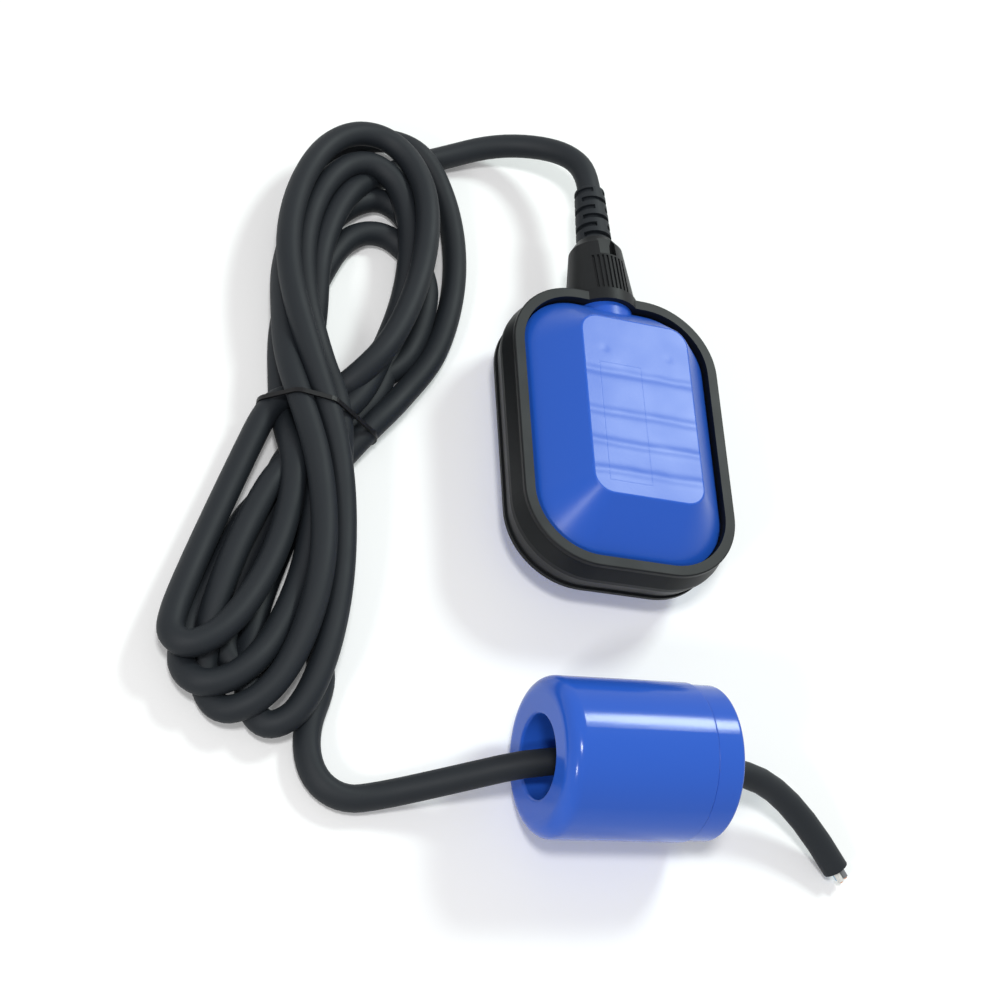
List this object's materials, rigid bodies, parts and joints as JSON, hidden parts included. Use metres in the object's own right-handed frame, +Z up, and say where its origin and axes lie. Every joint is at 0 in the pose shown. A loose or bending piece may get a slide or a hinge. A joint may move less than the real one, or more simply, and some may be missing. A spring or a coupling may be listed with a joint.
{
  "type": "float level switch",
  "caption": "Flat two-shell float with a ball-operated switch inside, a ribbed collar and slotted strain relief, a coiled cable and a round counterweight that slides on it.",
  "frame": {"origin": "on the ground under the middle of the float and its cable collar, with the float lying on its back cover", "axes": "+Z up out of the front cover, +Y along the float towards the cable collar, +X across the float"},
  "size_m": [0.2449, 0.2912, 0.0525],
  "materials": {
    "blue_shell": "smooth moulded polypropylene, satin",
    "blue_gloss": "glossy moulded polypropylene",
    "black_frame": "moulded black plastic, satin",
    "black_rubber": "black rubber jacket, dull sheen",
    "seal_rubber": "soft black rubber",
    "natural_plastic": "natural moulded plastic",
    "bright_steel": "polished steel",
    "zinc_steel": "zinc-plated steel",
    "switch_black": "moulded thermoset",
    "red_plastic": "moulded plastic",
    "brass": "plated brass",
    "grey_insulation": "core insulation",
    "white_insulation": "core insulation",
    "blue_insulation": "core insulation",
    "cast_ballast": "as cast",
    "ring_plastic": "moulded plastic"
  },
  "bodies": {
    "float": {"front_cover": "blue_shell", "back_cover": "blue_shell", "front_frame": "black_frame", "back_frame": "black_frame", "strain_sleeve": "black_rubber", "cable_bung": "seal_rubber", "cable_clamp": "natural_plastic", "neck_seal": "seal_rubber", "cable_entry": "black_rubber", "capsule_base": "natural_plastic", "capsule_lid": "natural_plastic", "capsule_gasket": "seal_rubber", "ball_race": "natural_plastic", "lever_pin": "bright_steel", "switch_case": "switch_black", "switch_screws": "zinc_steel", "closed_terminal": "brass", "common_terminal": "brass", "open_terminal": "brass", "grey_core": "grey_insulation", "white_core": "white_insulation", "blue_core": "blue_insulation", "cable_lead": "black_rubber", "cable_hank": "black_rubber", "hank_tie": "ring_plastic", "cable_tail": "black_rubber", "tail_grey_core": "grey_insulation", "tail_white_core": "white_insulation", "tail_blue_core": "blue_insulation", "stop_ring": "ring_plastic"},
    "ball": {"steel_ball": "bright_steel"},
    "lever": {"trip_lever": "zinc_steel"},
    "plunger": {"switch_plunger": "red_plastic"},
    "counterweight": {"weight_shell": "blue_gloss", "weight_cap": "blue_gloss", "weight_ballast": "cast_ballast"}
  },
  "joints": [
    {"name": "ball_roll", "type": "slide", "parent": "float", "child": "ball", "axis": [0, 1, 0], "range_m": [0, 0.0175]},
    {"name": "lever_tilt", "type": "hinge", "parent": "float", "child": "lever", "pos_m": [0, -0.0091, 0.0183], "axis": [-1, 0, 0], "range_deg": [0, 8], "stiffness_Nm_per_rad": 0.01},
    {"name": "plunger_press", "type": "slide", "parent": "float", "child": "plunger", "axis": [0, 1, 0], "range_m": [0, 0.0009]},
    {"name": "weight_slide", "type": "slide", "parent": "float", "child": "counterweight", "axis": [0.9981, 0.0611, 0], "range_m": [0, 0.012]}
  ],
  "couplings": [
    {"joint": "plunger_press", "follows": "lever_tilt", "m_per_rad": 0.0057}
  ]
}
